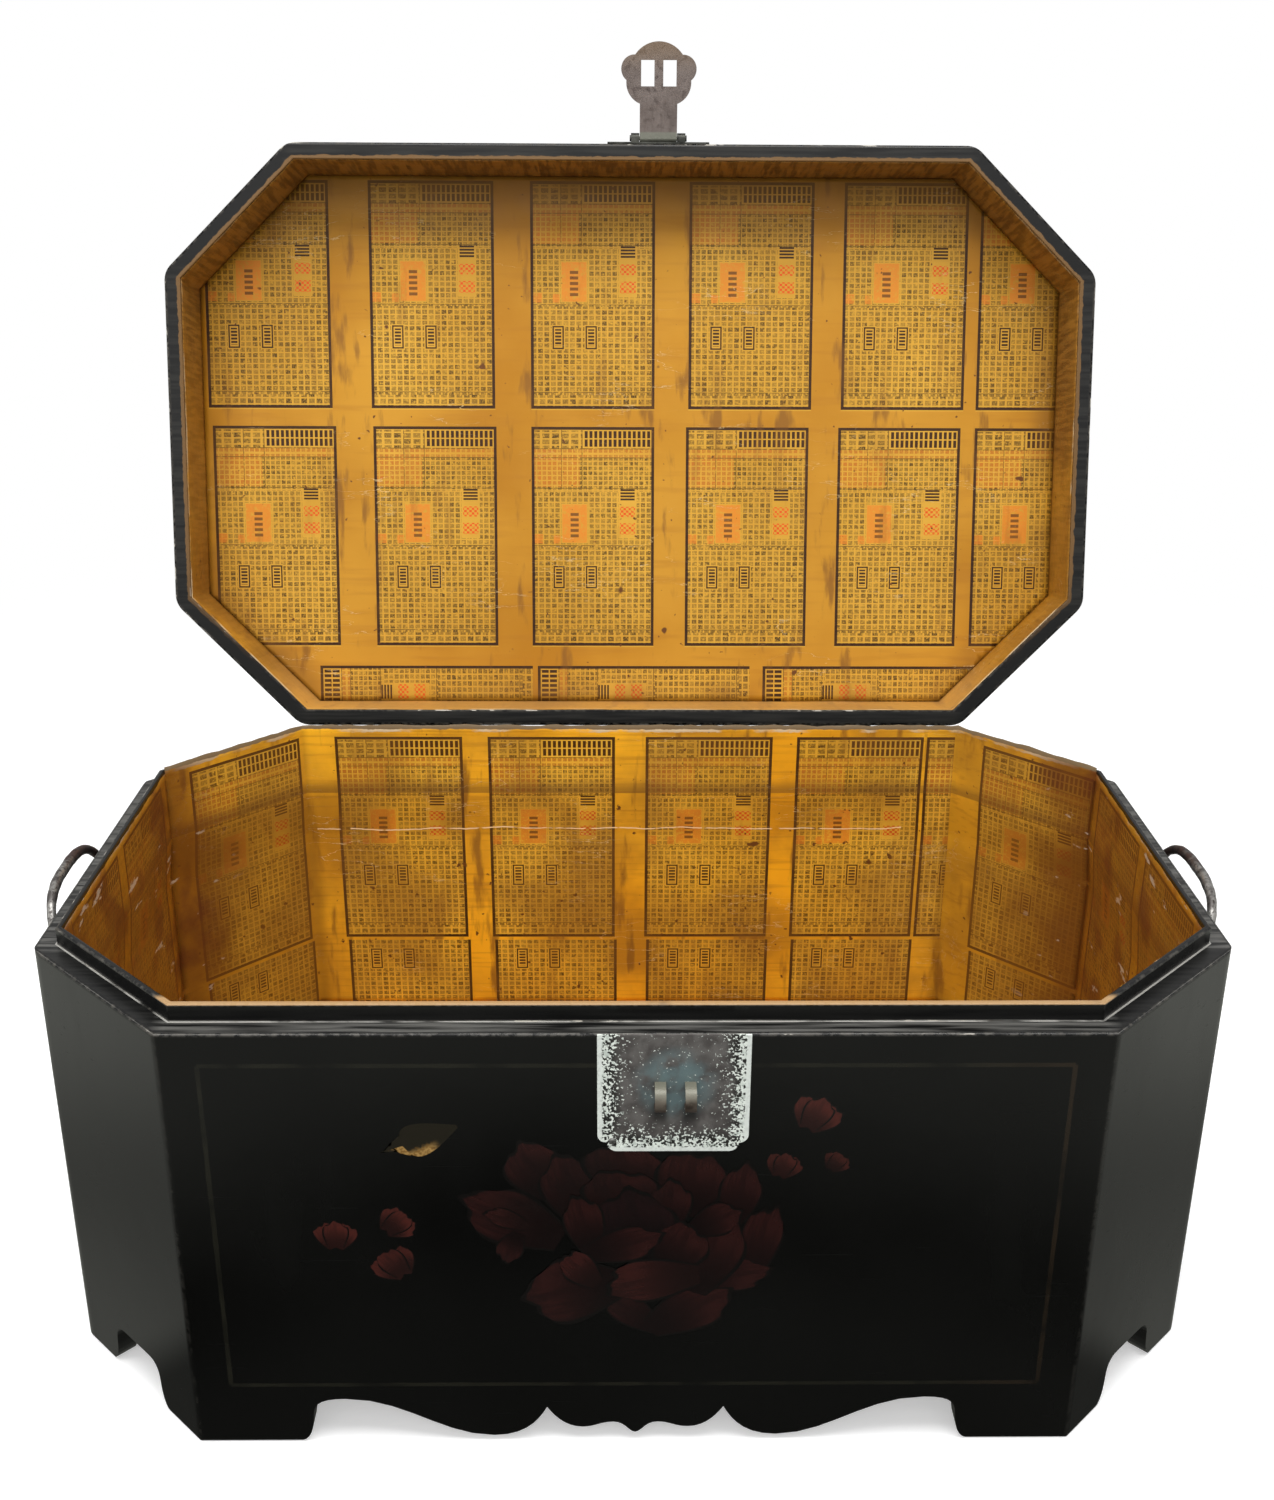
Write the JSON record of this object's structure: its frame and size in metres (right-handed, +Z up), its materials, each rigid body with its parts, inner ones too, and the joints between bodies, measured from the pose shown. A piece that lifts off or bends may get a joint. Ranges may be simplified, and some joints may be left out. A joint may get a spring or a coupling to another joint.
{
  "type": "octagonal travel trunk",
  "caption": "Low octagonal trunk in dark lacquer on cut bracket feet, lined with printed paper, with a hinged lid standing open, a swinging hasp over staples and bail handles at the ends.",
  "frame": {"origin": "on the floor, at the middle of the plan outline that the trunk has with its lid standing open", "axes": "+X to the right of someone who stands at the lock, +Y to the back, +Z up; the lid stands open at 104 degrees, the hasp stands upright and the handles are raised, as pictured"},
  "size_m": [0.915, 0.7758, 0.9497],
  "materials": {
    "black_lacquer": "polished black lacquer on wood, rubbed and chipped along its edges, a faded painted flower on the front",
    "bare_wood": "plain, unfinished",
    "printed_paper": "printed sheets pasted down and varnished to a golden brown",
    "pale_plate": "white brass, worn bright at its border and stained dark in the middle",
    "brown_metal": "old brass gone brown",
    "handle_iron": "forged iron, dark with bare grey patches"
  },
  "bodies": {
    "chest": {"front_wall": "black_lacquer", "front_right_wall": "black_lacquer", "right_wall": "black_lacquer", "back_right_wall": "black_lacquer", "back_wall": "black_lacquer", "back_left_wall": "black_lacquer", "left_wall": "black_lacquer", "front_left_wall": "black_lacquer", "front_lip": "black_lacquer", "front_right_lip": "black_lacquer", "right_lip": "black_lacquer", "back_right_lip": "black_lacquer", "back_lip": "black_lacquer", "back_left_lip": "black_lacquer", "left_lip": "black_lacquer", "front_left_lip": "black_lacquer", "floor_board": "bare_wood", "front_cleat": "bare_wood", "right_cleat": "bare_wood", "back_cleat": "bare_wood", "left_cleat": "bare_wood", "wall_lining": "printed_paper", "floor_lining": "printed_paper", "lock_plate": "pale_plate", "lock_staples": "brown_metal", "lock_plate_nail": "brown_metal", "left_hinge_chest_leaf": "brown_metal", "right_hinge_chest_leaf": "brown_metal", "left_hinge_pin": "brown_metal", "right_hinge_pin": "brown_metal", "hinge_chest_nails": "brown_metal", "left_bail_eyes": "handle_iron", "right_bail_eyes": "handle_iron"},
    "lid": {"lid_top_board": "black_lacquer", "lid_front_wall": "black_lacquer", "lid_front_right_wall": "black_lacquer", "lid_right_wall": "black_lacquer", "lid_back_right_wall": "black_lacquer", "lid_back_wall": "black_lacquer", "lid_back_left_wall": "black_lacquer", "lid_left_wall": "black_lacquer", "lid_front_left_wall": "black_lacquer", "lid_wall_lining": "printed_paper", "lid_ceiling_lining": "printed_paper", "left_hinge_lid_leaf": "brown_metal", "right_hinge_lid_leaf": "brown_metal", "hinge_lid_nails": "brown_metal", "hasp_plate": "brown_metal", "hasp_plate_nails": "brown_metal", "hasp_pin": "brown_metal"},
    "hasp": {"hasp": "brown_metal"},
    "left_bail": {"left_bail": "handle_iron"},
    "right_bail": {"right_bail": "handle_iron"}
  },
  "joints": [
    {"name": "lid_hinge", "type": "hinge", "parent": "chest", "child": "lid", "pos_m": [0, 0.17056, 0.338], "axis": [1, 0, 0], "range_deg": [0, 104]},
    {"name": "hasp_hinge", "type": "hinge", "parent": "lid", "child": "hasp", "pos_m": [0.024, 0.31747, 0.86769], "axis": [1, 0, 0], "range_deg": [-104, 76]},
    {"name": "left_bail_pivot", "type": "hinge", "parent": "chest", "child": "left_bail", "pos_m": [-0.438, -0.10494, 0.28], "axis": [0, -1, 0], "range_deg": [-16, 164]},
    {"name": "right_bail_pivot", "type": "hinge", "parent": "chest", "child": "right_bail", "pos_m": [0.438, -0.10494, 0.28], "axis": [0, 1, 0], "range_deg": [-16, 164]}
  ]
}
